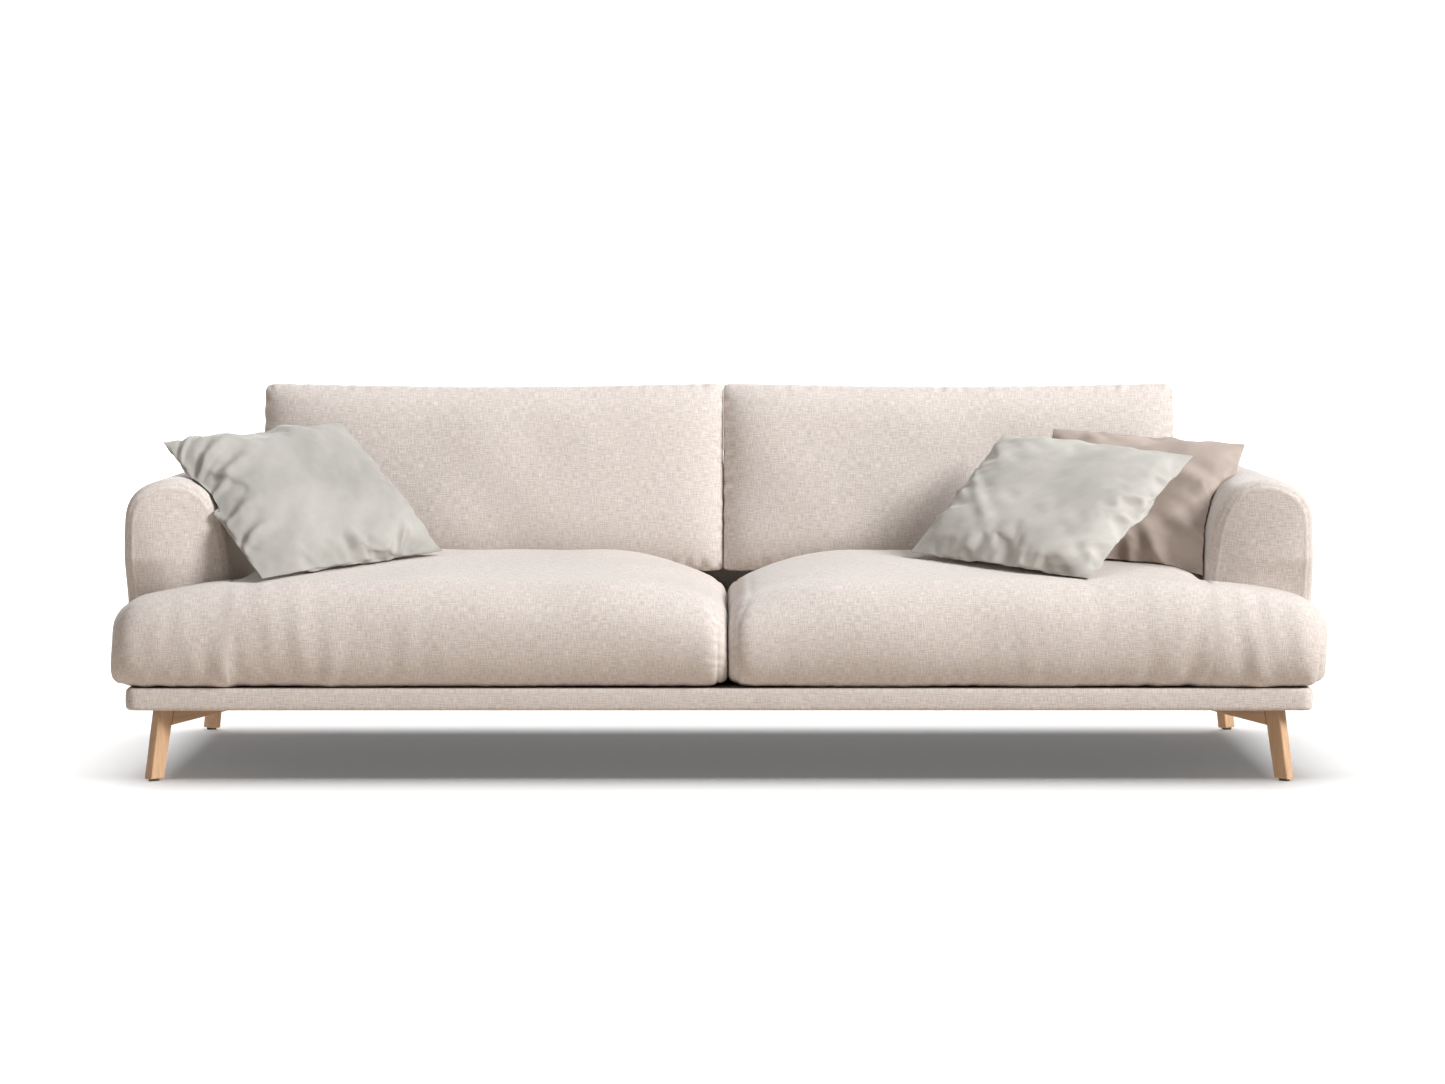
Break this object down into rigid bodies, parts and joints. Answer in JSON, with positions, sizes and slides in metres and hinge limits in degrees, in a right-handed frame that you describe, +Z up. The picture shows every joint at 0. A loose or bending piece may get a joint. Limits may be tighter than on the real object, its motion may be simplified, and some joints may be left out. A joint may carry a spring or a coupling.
{
  "type": "two-seat sofa",
  "caption": "Low upholstered sofa with loose T-shaped seat cushions, leaning back cushions, rounded arms, velvet throw pillows and splayed wooden legs on tapered brackets.",
  "frame": {"origin": "On the floor, under the middle of the sofa's overall box", "axes": "+X runs to the right as seen from the front, along the sofa's length; +Y runs from the front to the back; +Z is up"},
  "size_m": [2.51, 0.96, 0.7978],
  "materials": {
    "woven_fabric": "pale oatmeal slub-woven upholstery cloth over foam and wadding",
    "grey_velvet": "short-pile sage-grey velvet",
    "taupe_velvet": "short-pile warm taupe velvet",
    "foam": "open-cell polyurethane foam",
    "black_cloth": "non-woven spun cloth",
    "pine": "planed pine, unfinished",
    "birch_ply": "birch plywood, unfinished",
    "beech": "natural beech, satin clear lacquer",
    "steel": "bright zinc-plated steel",
    "felt": "pressed grey-brown felt"
  },
  "bodies": {
    "frame": {"plinth_cover": "woven_fabric", "arm_upholstery_left": "woven_fabric", "arm_upholstery_right": "woven_fabric", "backrest_upholstery": "woven_fabric", "seat_deck_cloth": "black_cloth", "dust_cover": "black_cloth", "frame_front_rail": "pine", "frame_rear_rail": "pine", "frame_left_rail": "pine", "frame_right_rail": "pine", "frame_centre_rail": "pine", "corner_block_front_left": "pine", "corner_block_front_right": "pine", "corner_block_rear_left": "pine", "corner_block_rear_right": "pine", "arm_top_rail_left": "pine", "arm_top_rail_right": "pine", "arm_front_board_left": "birch_ply", "arm_front_board_right": "birch_ply", "arm_rear_board_left": "birch_ply", "arm_rear_board_right": "birch_ply", "back_post_left": "pine", "back_post_centre": "pine", "back_post_right": "pine", "back_top_rail": "pine", "leg_post_front_left": "beech", "leg_post_front_right": "beech", "leg_post_rear_left": "beech", "leg_post_rear_right": "beech", "leg_bracket_front_left": "beech", "leg_bracket_front_right": "beech", "leg_bracket_rear_left": "beech", "leg_bracket_rear_right": "beech", "leg_bolt_front_left_1": "steel", "leg_bolt_front_left_2": "steel", "leg_bolt_front_right_1": "steel", "leg_bolt_front_right_2": "steel", "leg_bolt_rear_left_1": "steel", "leg_bolt_rear_left_2": "steel", "leg_bolt_rear_right_1": "steel", "leg_bolt_rear_right_2": "steel", "foot_pad_front_left": "felt", "foot_pad_front_right": "felt", "foot_pad_rear_left": "felt", "foot_pad_rear_right": "felt", "sinuous_spring_1": "steel", "sinuous_spring_2": "steel", "sinuous_spring_3": "steel", "sinuous_spring_4": "steel", "sinuous_spring_5": "steel", "sinuous_spring_6": "steel"},
    "seat_cushion_left": {"seat_cover_left": "woven_fabric", "seat_foam_left": "foam"},
    "seat_cushion_right": {"seat_cover_right": "woven_fabric", "seat_foam_right": "foam"},
    "back_cushion_left_body": {"back_cushion_left": "woven_fabric"},
    "back_cushion_right_body": {"back_cushion_right": "woven_fabric"},
    "throw_pillow_left": {"pillow_left": "grey_velvet"},
    "throw_pillow_right_rear": {"pillow_right_rear": "taupe_velvet"},
    "throw_pillow_right_front": {"pillow_right_front": "grey_velvet"}
  },
  "joints": [
    {"name": "seat_cushion_left_slide", "type": "slide", "parent": "frame", "child": "seat_cushion_left", "axis": [0, -1, 0], "range_m": [0, 0.85]},
    {"name": "seat_cushion_right_slide", "type": "slide", "parent": "frame", "child": "seat_cushion_right", "axis": [0, -1, 0], "range_m": [0, 0.85]},
    {"name": "back_cushion_left_lift", "type": "slide", "parent": "frame", "child": "back_cushion_left_body", "axis": [0, 0.2079, 0.9781], "range_m": [0, 0.45]},
    {"name": "back_cushion_right_lift", "type": "slide", "parent": "frame", "child": "back_cushion_right_body", "axis": [0, 0.2079, 0.9781], "range_m": [0, 0.45]},
    {"name": "pillow_left_lift", "type": "slide", "parent": "seat_cushion_left", "child": "throw_pillow_left", "axis": [0, 0, 1], "range_m": [0, 0.4]},
    {"name": "pillow_right_rear_lift", "type": "slide", "parent": "seat_cushion_right", "child": "throw_pillow_right_rear", "axis": [0, 0, 1], "range_m": [0, 0.4]},
    {"name": "pillow_right_front_lift", "type": "slide", "parent": "throw_pillow_right_rear", "child": "throw_pillow_right_front", "axis": [0, 0, 1], "range_m": [0, 0.4]}
  ]
}
